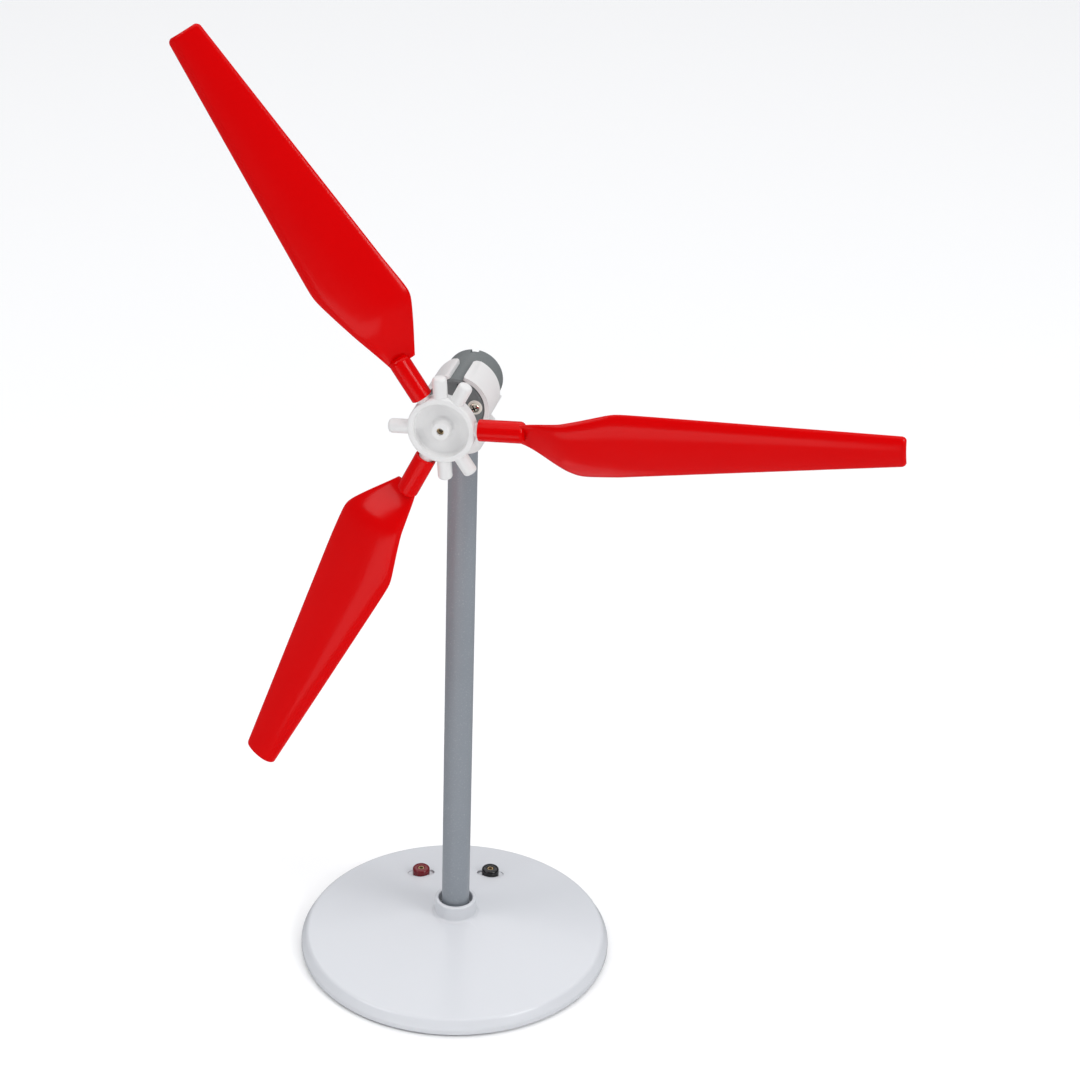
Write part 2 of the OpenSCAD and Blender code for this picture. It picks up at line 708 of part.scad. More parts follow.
module hub_body() {
  rim_in = hub_d / 2 - hub_rim;
  back = hub_depth + hub_back_boss;
  rotate_extrude($fn = 120)
    polygon(concat(
      [[adapter_r, -0.8], [hub_boss_r - 0.3, -0.8], [hub_boss_r, -0.5], [hub_boss_r + 0.4, hub_dish + 0.6]],
      [for (t = [0:0.2:1])
        [hub_boss_r + 0.4 + (rim_in - hub_boss_r - 0.4) * t, hub_dish + 0.6 - 1.6 * t * t]],
      [[rim_in, 0.5], [rim_in + 0.5, 0], [hub_d / 2 - 0.5, 0], [hub_d / 2, 0.5],
       [hub_d / 2, hub_depth - 0.5], [hub_d / 2 - 0.5, hub_depth], [hub_d / 2 - 3, hub_depth],
       [hub_d / 2 - 3.4, hub_depth - hub_back_cut], [hub_boss_r + 1.4, hub_depth - hub_back_cut],
       [hub_boss_r + 0.6, back - 0.5], [hub_boss_r, back], [adapter_r, back]]));
}

module peg() {
  rotate_extrude($fn = 48)
    polygon(concat(
      [[0, hub_d / 2 - 2], [peg_d / 2 + peg_swell, hub_d / 2 - 2], [peg_d / 2, hub_d / 2 + peg_foot]],
      [for (a = [0:15:90]) [peg_d / 2 - 2.2 + 2.2 * cos(a), peg_r1 - 2.2 + 2.2 * sin(a)]],
      [[0, peg_r1]]));
}

// Turns a piece that is made upright on the blade axis to stand out of the hub at angle a
module at_peg(a) {
  translate([0, peg_y, hub_height]) rotate([0, 90 - a, 0]) children();
}

module rotor_hub() {
  color("white") spin() {
    along_y(hub_y0) hub_body();
    for (a = peg_turns) at_peg(a) peg();
  }
}

// ---------- blades ----------

// Blade outline at radius r: each edge is two straight lines that a smooth minimum rounds together
function ramp(a, b, t) = a + (b - a) * max(0, min(1, t));
function ease(t) = let (x = max(0, min(1, t))) x * x * (3 - 2 * x);
function soft_min(a, b, k) = (a + b - sqrt((a - b) * (a - b) + k * k)) / 2;
function line(r, r0, c0, r1, c1) = c0 + (c1 - c0) * (r - r0) / (r1 - r0);
function rear_edge(r) = soft_min(
  line(r, root_r2, root_c_rear, shoulder_r - 4, shoulder_c + 0.9),
  line(r, shoulder_r - 4, shoulder_c + 0.9, tip_r, tip_c_rear), 1.8);
function front_edge(r) = soft_min(
  line(r, root_r2, root_c_front, elbow_r, elbow_c + 0.5),
  line(r, elbow_r, elbow_c + 0.5, tip_r, tip_c_front), 1);
function tip_in(r) = r > tip_r - tip_round
  ? tip_round - sqrt(max(0, pow(tip_round, 2) - pow(r - tip_r + tip_round, 2))) : 0;
function bow(r) = blade_bow * ease((r - root_r2) / bow_run)
  * min(1, (tip_r - r) / (tip_r - shoulder_r));
function half_t(u) = blade_t / 2 * sqrt(max(0.04, 1 - pow(abs(2 * u - 1), 12)));
function pitch(r) = ramp(root_pitch, tip_pitch, (r - root_r1) / (elbow_r - root_r1));
function section(r, n) =
  let (cr = rear_edge(r) - tip_in(r), cf = front_edge(r) - tip_in(r), b = pitch(r),
       h = blade_camber * (cr + cf) * ease((r - root_r2) / camber_run), f = bow(r),
       upper = [for (k = [0:n]) let (u = (1 - cos(180 * k / n)) / 2)
                [-cf + (cr + cf) * u, f + h * (1 - pow(2 * u - 1, 2)) + half_t(u)]],
       lower = [for (k = [n:-1:0]) let (u = (1 - cos(180 * k / n)) / 2)
                [-cf + (cr + cf) * u, f + h * (1 - pow(2 * u - 1, 2)) - half_t(u)]])
  [for (q = concat(upper, lower))
    [q[0] * cos(b) + q[1] * sin(b), q[0] * sin(b) - q[1] * cos(b), r]];

blade_stations = concat(
  [root_r2, root_r2 + 3],
  [for (r = [root_r2 + 8:4.5:elbow_r + 4]) r],
  [for (k = [1:5]) elbow_r + 6 + (tip_r - tip_round - elbow_r - 6) * k / 5],
  [for (k = [1:3]) tip_r - tip_round + tip_round * sin(30 * k)]);

module blade_shell() {
  n = 8;
  m = 2 * n + 2;
  last = len(blade_stations) - 1;
  points = [for (r = blade_stations) for (p = section(r, n)) p];
  polyhedron(points = points, faces = concat(
    [[for (k = [0:m - 1]) k]],
    [for (i = [0:last - 1]) for (k = [0:m - 1])
      [i * m + k, (i + 1) * m + k, (i + 1) * m + (k + 1) % m, i * m + (k + 1) % m]],
    [[for (k = [m - 1:-1:0]) last * m + k]]), convexity = 6);
}

module blade() {
  difference() {
    union() {
      blade_shell();
      rotate_extrude($fn = 64)
        polygon(concat([[0, root_r0], [root_tube_d / 2 - 0.3, root_r0], [root_tube_d / 2, root_r0 + 0.3]],
          [for (a = [0:18:90])
            [root_tube_d / 2 - 3 + 3 * cos(a), root_r1 - 3 + 3 * sin(a)]],
          [[0, root_r1]]));
    }
    translate([0, 0, root_r0 - 1])
      cylinder(r = peg_d / 2 + run_gap, h = root_bore_end - root_r0 + 1, $fn = 64);
  }
}

module placed_blade(k) {
  color("red") spin() at_peg(blade_turns[k]) rotate([0, 0, blade_sets[k]]) blade();
}

module blade_1() { placed_blade(0); }
module blade_2() { placed_blade(1); }
module blade_3() { placed_blade(2); }

// ---------- nodes ----------

base_shell();
base_cover();
non_slip_pad();
ballast_weight();
cover_screws();
red_socket_body();
red_socket_contact();
red_socket_nut();
black_socket_body();
black_socket_contact();
black_socket_nut();
red_wire();
black_wire();
mast_tube();
mast_screw();
swivel_washer();
motor_cradle();
neck_screw();
motor_housing();
housing_rear_cap();
motor_screws();
motor_can();
motor_magnets();
motor_end_bell();
front_bush();
rear_bush();
motor_brushes();
motor_terminals();
motor_shaft();
armature_core();
armature_windings();
commutator();
shaft_adapter();
rotor_hub();
blade_1();
blade_2();
blade_3();
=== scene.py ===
import json
import math

import bmesh
import bpy
from mathutils import Matrix, Vector


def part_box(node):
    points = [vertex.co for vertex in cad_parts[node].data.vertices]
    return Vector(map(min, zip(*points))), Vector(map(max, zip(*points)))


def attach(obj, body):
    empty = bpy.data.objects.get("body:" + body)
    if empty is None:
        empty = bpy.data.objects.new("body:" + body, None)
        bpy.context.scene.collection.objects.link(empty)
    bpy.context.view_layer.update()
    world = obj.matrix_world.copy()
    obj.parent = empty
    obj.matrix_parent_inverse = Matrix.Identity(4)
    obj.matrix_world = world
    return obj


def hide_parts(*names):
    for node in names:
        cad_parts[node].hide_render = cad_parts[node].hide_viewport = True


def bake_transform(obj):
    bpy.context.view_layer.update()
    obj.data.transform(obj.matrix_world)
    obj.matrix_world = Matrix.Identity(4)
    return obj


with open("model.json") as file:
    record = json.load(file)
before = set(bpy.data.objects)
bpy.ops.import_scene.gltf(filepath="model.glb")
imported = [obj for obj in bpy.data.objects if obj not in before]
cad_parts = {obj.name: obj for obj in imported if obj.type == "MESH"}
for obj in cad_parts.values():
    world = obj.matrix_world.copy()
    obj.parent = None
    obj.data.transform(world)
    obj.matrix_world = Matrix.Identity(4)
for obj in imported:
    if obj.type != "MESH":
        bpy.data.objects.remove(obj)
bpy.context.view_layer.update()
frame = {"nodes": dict(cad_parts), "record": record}  # nodes, record

MM = 0.001
nodes = frame["nodes"]
scene = bpy.context.scene


# ---------- sizes taken from the frame, in millimetres ----------

def span(node):
    """Lowest and highest corner of a frame node, in millimetres."""
    low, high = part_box(node)
    return Vector(low) / MM, Vector(high) / MM


base_low, base_high = span("base_shell")
housing_low, housing_high = span("motor_housing")
mast_low, mast_high = span("mast_tube")

BASE_R = (base_high.x - base_low.x) / 2
COLLAR_TOP = base_high.z
MAST_R = (mast_high.x - mast_low.x) / 2
AXIS_Z = (housing_low.z + housing_high.z) / 2
HOUSING_R = (housing_high.x - housing_low.x) / 2
FACE_Y = housing_low.y
BASE_TURN = math.radians(14)
ROTOR_TURN = math.radians(4)
RUN_GAP = 0.05


def along_axis(y):
    """Matrix that lays a piece made upright along the rotor axis, its foot at depth y."""
    return Matrix.Translation((0, y, AXIS_Z)) @ Matrix.Rotation(math.radians(-90), 4, "X")


def out_of_hub(y, angle):
    """Matrix that stands a piece made upright out of the hub at an angle from +X."""
    rotor = Matrix.Translation((0, y, AXIS_Z)) @ Matrix.Rotation(-ROTOR_TURN, 4, "Y")
    return rotor @ Matrix.Rotation(math.pi / 2 - angle, 4, "Y")


# ---------- mesh helpers ----------

def soft_corners(corners, steps=6):
    """Profile points from corners (x, y, rounding): each corner with a rounding becomes an arc."""
    points = []
    count = len(corners)
    for i, (x, y, rounding) in enumerate(corners):
        here = Vector((x, y))
        if not rounding:
            points.append(here)
            continue
        before = Vector(corners[i - 1][:2]) - here
        after = Vector(corners[(i + 1) % count][:2]) - here
        half = before.angle(after) / 2
        reach = min(rounding / math.tan(half), before.length * 0.499, after.length * 0.499)
        radius = reach * math.tan(half)
        inward = (before.normalized() + after.normalized()).normalized()
        middle = here + inward * radius / math.sin(half)
        first = here + before.normalized() * reach - middle
        last = here + after.normalized() * reach - middle
        turn = first.angle_signed(last)
        for k in range(steps + 1):
            a = -turn * k / steps
            points.append(middle + Vector((first.x * math.cos(a) - first.y * math.sin(a),
                                           first.x * math.sin(a) + first.y * math.cos(a))))
    return points


def piece_from(name, mesh_data, place=Matrix.Identity(4), sharp=35):
    """A shown piece from a bmesh that was made in millimetres."""
    bmesh.ops.recalc_face_normals(mesh_data, faces=mesh_data.faces)
    mesh = bpy.data.meshes.new(name)
    mesh_data.to_mesh(mesh)
    mesh_data.free()
    mesh.transform(Matrix.Scale(MM, 4) @ place)
    for face in mesh.polygons:
        face.use_smooth = True
    if sharp:
        mesh.set_sharp_from_angle(angle=math.radians(sharp))
    piece = bpy.data.objects.new(name, mesh)
    scene.collection.objects.link(piece)
    return piece


def turn_profile(points, steps=96):
    """A solid of revolution about +Z from a closed profile of (radius, height) points."""
    shape = bmesh.new()
    rings = []
    for x, z in points:
        if x < 1e-6:
            rings.append([shape.verts.new((0, 0, z))])
        else:
            rings.append([shape.verts.new((x * math.cos(2 * math.pi * k / steps),
                                           x * math.sin(2 * math.pi * k / steps), z))
                          for k in range(steps)])
    for i, ring in enumerate(rings):
        other = rings[(i + 1) % len(rings)]
        if len(ring) == 1 and len(other) == 1:
            continue
        for k in range(steps):
            n = (k + 1) % steps
            corners = [ring[k % len(ring)], ring[n % len(ring)],
                       other[n % len(other)], other[k % len(other)]]
            shape.faces.new(list(dict.fromkeys(corners)))
    return shape


def turned(name, corners, place=Matrix.Identity(4), steps=96, sharp=35, arc=6):
    """A turned piece from profile corners (radius, height, rounding)."""
    return piece_from(name, turn_profile(soft_corners(corners, arc), steps), place, sharp)


def prism(outline, low, high):
    """A straight prism, in a bmesh, over a closed outline of (x, y) points."""
    shape = bmesh.new()
    floor = [shape.verts.new((x, y, low)) for x, y in outline]
    roof = [shape.verts.new((x, y, high)) for x, y in outline]
    count = len(outline)
    shape.faces.new(floor[::-1])
    shape.faces.new(roof)
    for k in range(count):
        n = (k + 1) % count
        shape.faces.new([floor[k], floor[n], roof[n], roof[k]])
    return shape


def cut(piece, cutter):
    """Takes the cutter's solid out of a piece."""
    change = piece.modifiers.new("cut", "BOOLEAN")
    change.operation = "DIFFERENCE"
    change.solver = "EXACT"
    change.object = cutter
    bpy.context.view_layer.update()
    done = piece.evaluated_get(bpy.context.evaluated_depsgraph_get())
    mesh = bpy.data.meshes.new_from_object(done)
    piece.modifiers.clear()
    old = piece.data
    piece.data = mesh
    bpy.data.meshes.remove(old)
    bpy.data.objects.remove(cutter)


def resharpen(piece, sharp):
    """Smooth shading again after a cut."""
    for face in piece.data.polygons:
        face.use_smooth = True
    piece.data.set_sharp_from_angle(angle=math.radians(sharp))


def join_pieces(first, *others):
    """One mesh object from several, in the first one's name."""
    shape = bmesh.new()
    for piece in (first, *others):
        shape.from_mesh(piece.data)
    shape.to_mesh(first.data)
    shape.free()
    for piece in others:
        bpy.data.objects.remove(piece)
    return first


def dress(piece, body, slot, material, *stands_for):
    """Gives a piece its body, if it has just one, its finish and the frame nodes that it stands for."""
    piece.data.materials.clear()
    piece.data.materials.append(material)
    if body:
        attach(piece, body)
    if stands_for:
        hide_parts(*stands_for)


# ---------- material helpers ----------

def new_group(name, inputs, outputs):
    """An empty shader node group with named number inputs and outputs."""
    group = bpy.data.node_groups.new(name, "ShaderNodeTree")
    for label, start in inputs:
        socket = group.interface.new_socket(label, in_out="INPUT", socket_type="NodeSocketFloat")
        socket.default_value = start
    for label, kind in outputs:
        group.interface.new_socket(label, in_out="OUTPUT", socket_type=kind)
    return group, group.nodes.new("NodeGroupInput"), group.nodes.new("NodeGroupOutput")


def add_node(tree, kind, **settings):
    """A node with some of its settings and unlinked inputs filled in."""
    node = tree.nodes.new(kind)
    for key, value in settings.items():
        if hasattr(node, key):
            setattr(node, key, value)
        else:
            node.inputs[key.replace("_", " ")].default_value = value
    return node


def maths(tree, operation, first, second=None):
    """A math node; each side is a socket or a number."""
    node = add_node(tree, "ShaderNodeMath", operation=operation)
    for slot_number, value in enumerate((first, second)):
        if value is None:
            continue
        if isinstance(value, (int, float)):
            node.inputs[slot_number].default_value = value
        else:
            tree.links.new(value, node.inputs[slot_number])
    return node.outputs[0]


def noise(tree, place, scale, detail, roughness=0.55):
    """A noise texture over object space; scale is a socket or a number."""
    node = add_node(tree, "ShaderNodeTexNoise", Detail=detail, Roughness=roughness)
    tree.links.new(place, node.inputs["Vector"])
    if isinstance(scale, (int, float)):
        node.inputs["Scale"].default_value = scale
    else:
        tree.links.new(scale, node.inputs["Scale"])
    return node.outputs["Fac"]


def make_grain():
    """Fine moulded or sprayed grain: a height for a bump, and a speckle mask."""
    group, given, out = new_group("surface_grain", [("Scale", 3000.0), ("Coarse", 0.3)],
                                  [("Height", "NodeSocketFloat"), ("Speckle", "NodeSocketFloat")])
    place = add_node(group, "ShaderNodeTexCoord").outputs["Object"]
    fine = noise(group, place, given.outputs["Scale"], 3, 0.6)
    wide = noise(group, place, maths(group, "MULTIPLY", given.outputs["Scale"], 0.22), 2)
    mixed = add_node(group, "ShaderNodeMix", data_type="FLOAT")
    group.links.new(given.outputs["Coarse"], mixed.inputs["Factor"])
    group.links.new(fine, mixed.inputs["A"])
    group.links.new(wide, mixed.inputs["B"])
    group.links.new(mixed.outputs["Result"], out.inputs["Height"])
    spots = add_node(group, "ShaderNodeMapRange", From_Min=0.56, From_Max=0.72)
    group.links.new(fine, spots.inputs["Value"])
    group.links.new(spots.outputs["Result"], out.inputs["Speckle"])
    return group


def make_handling():
    """Faint marks of handling: a roughness that drifts, and a slow tone drift."""
    group, given, out = new_group("handling_marks",
                                  [("Roughness", 0.3), ("Spread", 0.08), ("Size", 45.0)],
                                  [("Roughness", "NodeSocketFloat"), ("Tone", "NodeSocketFloat")])
    place = add_node(group, "ShaderNodeTexCoord").outputs["Object"]
    drift = noise(group, place, given.outputs["Size"], 4, 0.62)
    smear = noise(group, place, maths(group, "MULTIPLY", given.outputs["Size"], 7), 3, 0.7)
    both = maths(group, "ADD", maths(group, "MULTIPLY", drift, 0.7),
                 maths(group, "MULTIPLY", smear, 0.3))
    centred = maths(group, "MULTIPLY", maths(group, "SUBTRACT", both, 0.5), 4)
    shift = maths(group, "MULTIPLY", centred, given.outputs["Spread"])
    group.links.new(maths(group, "ADD", given.outputs["Roughness"], shift), out.inputs["Roughness"])
    group.links.new(drift, out.inputs["Tone"])
    return group


def make_edge_rub():
    """Rubbed edges: a mask that is 1 on the sharpest outer edges, broken up by noise."""
    group, given, out = new_group("edge_rub", [("Start", 0.53), ("Reach", 0.08)],
                                  [("Mask", "NodeSocketFloat")])
    edge = add_node(group, "ShaderNodeNewGeometry").outputs["Pointiness"]
    place = add_node(group, "ShaderNodeTexCoord").outputs["Object"]
    past = maths(group, "SUBTRACT", edge, given.outputs["Start"])
    over = maths(group, "DIVIDE", past, given.outputs["Reach"])
    patches = maths(group, "ADD", noise(group, place, 900, 3), 0.35)
    broken = maths(group, "MULTIPLY", over, patches)
    clamp = add_node(group, "ShaderNodeClamp")
    group.links.new(broken, clamp.inputs["Value"])
    group.links.new(clamp.outputs["Result"], out.inputs["Mask"])
    return group


GRAIN = make_grain()
HANDLING = make_handling()
EDGE_RUB = make_edge_rub()


def place_group(tree, group, **values):
    """A shared effect placed in a material with its own values."""
    node = tree.nodes.new("ShaderNodeGroup")
    node.node_tree = group
    for key, value in values.items():
        node.inputs[key].default_value = value
    return node


def finish_material(name, colour, roughness, spread=0.06, metallic=0.0, grain=3000, coarse=0.3,
                    bump=0.0, bump_mm=0.02, tone=0.05, speckle=0.0, speckle_colour=None,
                    rub=0.0, rub_colour=None, shader=None, handling=45):
    """A surface finish: colour with tone drift, speckle and rubbed edges, uneven gloss, grain."""
    material = bpy.data.materials.new(name)
    material.use_nodes = True
    tree = material.node_tree
    bsdf = tree.nodes["Principled BSDF"]
    bsdf.inputs["Metallic"].default_value = metallic
    for key, value in (shader or {}).items():
        bsdf.inputs[key].default_value = value
    marks = place_group(tree, HANDLING, Roughness=roughness, Spread=spread, Size=handling)
    surface = place_group(tree, GRAIN, Scale=grain, Coarse=coarse)
    tree.links.new(marks.outputs["Roughness"], bsdf.inputs["Roughness"])
    ramp = add_node(tree, "ShaderNodeMix", data_type="RGBA")
    ramp.inputs["A"].default_value = (*[c * (1 - tone) for c in colour], 1)
    ramp.inputs["B"].default_value = (*[min(1, c * (1 + tone)) for c in colour], 1)
    tree.links.new(marks.outputs["Tone"], ramp.inputs["Factor"])
    shade = ramp.outputs["Result"]
    layers = []
    if speckle:
        layers.append((speckle, speckle_colour, surface.outputs["Speckle"]))
    if rub:
        layers.append((rub, rub_colour, place_group(tree, EDGE_RUB).outputs["Mask"]))
    for share, other, mask in layers:
        layer = add_node(tree, "ShaderNodeMix", data_type="RGBA")
        tree.links.new(maths(tree, "MULTIPLY", mask, share), layer.inputs["Factor"])
        tree.links.new(shade, layer.inputs["A"])
        layer.inputs["B"].default_value = (*other, 1)
        shade = layer.outputs["Result"]
    tree.links.new(shade, bsdf.inputs["Base Color"])
    if bump:
        relief = add_node(tree, "ShaderNodeBump", Strength=bump, Distance=bump_mm * MM)
        tree.links.new(surface.outputs["Height"], relief.inputs["Height"])
        tree.links.new(relief.outputs["Normal"], bsdf.inputs["Normal"])
    return material


GLOSS_WHITE = finish_material(
    "white_gloss_moulding", (0.66, 0.675, 0.705), 0.2, 0.05, grain=1400, coarse=0.7, bump=0.1,
    bump_mm=0.02, tone=0.012, rub=0.2, rub_colour=(0.8, 0.8, 0.81),
    shader={"Specular IOR Level": 0.45})
SATIN_WHITE = finish_material(
    "white_satin_moulding", (0.76, 0.755, 0.75), 0.4, 0.07, grain=2600, coarse=0.4, bump=0.35,
    bump_mm=0.03, tone=0.03, rub=0.2, rub_colour=(0.8, 0.8, 0.8))
BLADE_RED = finish_material(
    "red_blade_moulding", (0.66, 0.0, 0.0005), 0.17, 0.03, grain=420, coarse=0.8, bump=0.08,
    bump_mm=0.03, tone=0.03, shader={"Specular IOR Level": 0.13}, handling=30)
HOUSING_GREY = finish_material(
    "grey_textured_moulding", (0.135, 0.152, 0.155), 0.6, 0.06, grain=1500, coarse=0.3, bump=0.9,
    bump_mm=0.1, tone=0.08, speckle=0.45, speckle_colour=(0.24, 0.26, 0.26), rub=0.3,
    rub_colour=(0.25, 0.26, 0.26))
MAST_PAINT = finish_material(
    "mast_powder_coat", (0.255, 0.28, 0.31), 0.4, 0.05, grain=1500, coarse=0.25, bump=0.7,
    bump_mm=0.08, tone=0.06, speckle=0.55, speckle_colour=(0.38, 0.41, 0.45))
NICKEL = finish_material(
    "nickel_plating", (0.78, 0.73, 0.62), 0.2, 0.08, metallic=1, grain=4000, bump=0.15,
    bump_mm=0.01, tone=0.05)
# Flat light cream, not metal, for the motor screws' nickel washers: a painted highlight that stands for
# the bright reflection of their plating.
PAINTED_NICKEL_HIGHLIGHT = finish_material(
    "washer_painted_nickel_highlight", (0.74, 0.72, 0.66), 0.4, 0.06, grain=3000, bump=0.2, tone=0.04)
ZINC = finish_material(
    "zinc_screw_plating", (0.55, 0.56, 0.57), 0.34, 0.1, metallic=1, grain=3500, bump=0.3,
    bump_mm=0.01, tone=0.08)
STEEL = finish_material(
    "bare_steel", (0.5, 0.5, 0.5), 0.32, 0.1, metallic=1, grain=3000, bump=0.3, bump_mm=0.01,
    tone=0.08)
BRASS = finish_material(
    "turned_brass", (0.62, 0.46, 0.26), 0.4, 0.1, metallic=1, grain=3500, bump=0.25,
    bump_mm=0.01, tone=0.1)
BRONZE = finish_material(
    "sintered_bronze", (0.45, 0.27, 0.13), 0.55, 0.1, metallic=1, grain=4200, bump=0.6,
    bump_mm=0.03, tone=0.12)
COPPER = finish_material(
    "enamelled_copper", (0.6, 0.24, 0.1), 0.3, 0.08, metallic=1, grain=5000, bump=0.4,
    bump_mm=0.02, tone=0.1)
FERRITE = finish_material(
    "ferrite_magnet", (0.05, 0.05, 0.053), 0.6, 0.1, grain=2500, bump=0.5, tone=0.15)
# Dark finish of the motor's carbon brushes. It also colours the dark disc in the screw heads' cross
# recesses, which is painted shade.
CARBON_AND_PAINTED_SHADE = finish_material(
    "carbon_brush_and_painted_recess_shade", (0.025, 0.025, 0.026), 0.5, 0.1, grain=3000, bump=0.5, tone=0.2)
NYLON = finish_material(
    "natural_nylon", (0.7, 0.68, 0.6), 0.45, 0.06, grain=2000, bump=0.2, tone=0.03)
FOAM_RUBBER = finish_material(
    "foamed_rubber", (0.035, 0.035, 0.036), 0.85, 0.06, grain=1500, coarse=0.2, bump=1.0,
    bump_mm=0.15, tone=0.2, speckle=0.4, speckle_colour=(0.015, 0.015, 0.015))
SOCKET_RED = finish_material(
    "red_socket_moulding", (0.14, 0.002, 0.007), 0.08, 0.02, grain=1500, bump=0.1, tone=0.06,
    shader={"Specular IOR Level": 0.4})
SOCKET_BLACK = finish_material(
    "black_socket_moulding", (0.004, 0.004, 0.005), 0.08, 0.02, grain=1500, bump=0.1, tone=0.1,
    shader={"Specular IOR Level": 0.4})
WIRE_RED = finish_material(
    "red_insulation", (0.5, 0.012, 0.016), 0.4, 0.06, grain=1500, bump=0.2, tone=0.05)
WIRE_BLACK = finish_material(
    "black_insulation", (0.015, 0.015, 0.016), 0.4, 0.06, grain=1500, bump=0.2, tone=0.1)

FINISHES = {
    "white_plastic": GLOSS_WHITE, "red_plastic": BLADE_RED, "grey_plastic": HOUSING_GREY,
    "mast_paint": MAST_PAINT, "steel": STEEL, "screw_steel": ZINC, "nickel": NICKEL, "brass": BRASS,
    "bronze": BRONZE, "copper": COPPER, "magnet": FERRITE, "carbon": CARBON_AND_PAINTED_SHADE, "nylon": NYLON,
    "pad_rubber": FOAM_RUBBER, "red_socket_plastic": SOCKET_RED, "black_plastic": SOCKET_BLACK,
    "red_insulation": WIRE_RED, "black_insulation": WIRE_BLACK,
}
for part in frame["record"]["subparts"]:
    frame_node = nodes[part["node"]]
    frame_node.data.materials.clear()
    frame_node.data.materials.append(FINISHES[part["material_slot"]])


# ---------- camera, floor and light ----------

def look(position, turn, dip, roll):
    """Camera matrix from its place and three angles in degrees: turn to the right, dip, roll."""
    turn, dip, roll = (math.radians(a) for a in (turn, dip, roll))
    level = Vector((math.sin(turn), math.cos(turn), 0)) * math.cos(dip)
    forward = level - Vector((0, 0, math.sin(dip)))
    right = Vector((math.cos(turn), -math.sin(turn), 0))
    up = right.cross(forward)
    side = right * math.cos(roll) + up * math.sin(roll)
    top = up * math.cos(roll) - right * math.sin(roll)
    matrix = Matrix((side, top, -forward)).transposed().to_4x4()
    matrix.translation = Vector(position)
    return matrix


camera_data = bpy.data.cameras.new("camera")
camera = bpy.data.objects.new("camera", camera_data)
scene.collection.objects.link(camera)
camera_data.sensor_width = 36
camera_data.lens = 86.38
camera_data.clip_end = 50
camera.matrix_world = look((0.2321, -0.9443, 0.7097), -11.86, 27.28, 1.86)
scene.camera = camera

floor_mesh = bpy.data.meshes.new("floor")
FLOOR_REACH = 8
corners = [(x * FLOOR_REACH, y * FLOOR_REACH, 0) for x, y in ((-1, -1), (1, -1), (1, 1), (-1, 1))]
floor_mesh.from_pydata(corners, [], [(0, 1, 2, 3)])
floor = bpy.data.objects.new("floor", floor_mesh)
scene.collection.objects.link(floor)
floor_finish = bpy.data.materials.new("pale_floor")
floor_finish.use_nodes = True
floor_shader = floor_finish.node_tree.nodes["Principled BSDF"]
floor_shader.inputs["Base Color"].default_value = (0.97, 0.97, 0.97, 1)
floor_shader.inputs["Roughness"].default_value = 0.9
floor_shader.inputs["Specular IOR Level"].default_value = 0.1
floor_mesh.materials.append(floor_finish)
floor.visible_glossy = False


def soft_box(name, place, aim, width, height, watts):
    """A flat soft light that faces a point."""
    data = bpy.data.lights.new(name, "AREA")
    data.shape = "RECTANGLE"
    data.size, data.size_y = width, height
    data.energy = watts
    lamp = bpy.data.objects.new(name, data)
    scene.collection.objects.link(lamp)
    lamp.location = place
    lamp.rotation_mode = "QUATERNION"
    lamp.rotation_quaternion = (Vector(aim) - Vector(place)).to_track_quat("-Z", "Y")
    lamp.visible_camera = False


soft_box("overhead_light", (0.0, 1.0, 2.6), (0, 1.0, 0), 5.6, 5.6, 116)
soft_box("left_key_light", (-1.3, -1.1, 1.35), (0, 0, 0.2), 0.8, 0.8, 7)
soft_box("right_fill_light", (1.3, -0.6, 1.0), (0, 0, 0.25), 0.6, 0.6, 9)
soft_box("front_low_card", (-0.05, -0.46, 0.03), (0.08, -0.035, 0.275), 0.5, 0.24, 0.55)

world = bpy.data.worlds.new("studio")
scene.world = world
world.use_nodes = True
sky = world.node_tree.nodes["Background"]
sky.inputs["Color"].default_value = (0.9, 0.93, 1, 1)
sky.inputs["Strength"].default_value = 0.22
scene.view_settings.view_transform = "Standard"
scene.view_settings.look = "None"


# ---------- base ----------

SIDE_H = 3.5
EDGE_H = 7.75
CROWN_H = 17.0
EDGE_R = BASE_R - 1.75
EDGE_ROUND = 3.0
WALL = 2.4
COLLAR_HOLE_R = MAST_R + 1.45
COLLAR_R = COLLAR_HOLE_R + 1.8
CROWN_R = COLLAR_R + 2.2
SHELL_Z = base_low.z
SOCKET_X, SOCKET_Y = 16.2, 37.5
POCKET_LONG, POCKET_WIDE = 12.6, 5.6
POCKET_DEPTH = 1.0
SEAT_HOLE_R, SHANK_HOLE_R = 4.2, 2.6
CUT_PAST = 8
slope = (CROWN_H - EDGE_H) / (EDGE_R - EDGE_ROUND - CROWN_R)
in_base = Matrix.Rotation(BASE_TURN, 4, "Z")


def top_z(r):
    """Height of the base's sloping top at radius r."""
    return EDGE_H + (EDGE_R - EDGE_ROUND - r) * slope


def disc(radius, count=48):
    """Outline of a round hole."""
    turns = [math.radians(360 / count * k) for k in range(count)]
    return [(radius * math.cos(a), radius * math.sin(a)) for a in turns]


def pocket():
    """Outline of the long round-ended pocket that each socket sits in."""
    half, radius = (POCKET_LONG - POCKET_WIDE) / 2, POCKET_WIDE / 2
    return [(end * half + radius * math.cos(a), radius * math.sin(a))
            for end, start in ((1, -90), (-1, 90))
            for a in [math.radians(start + 15 * k) for k in range(13)]]


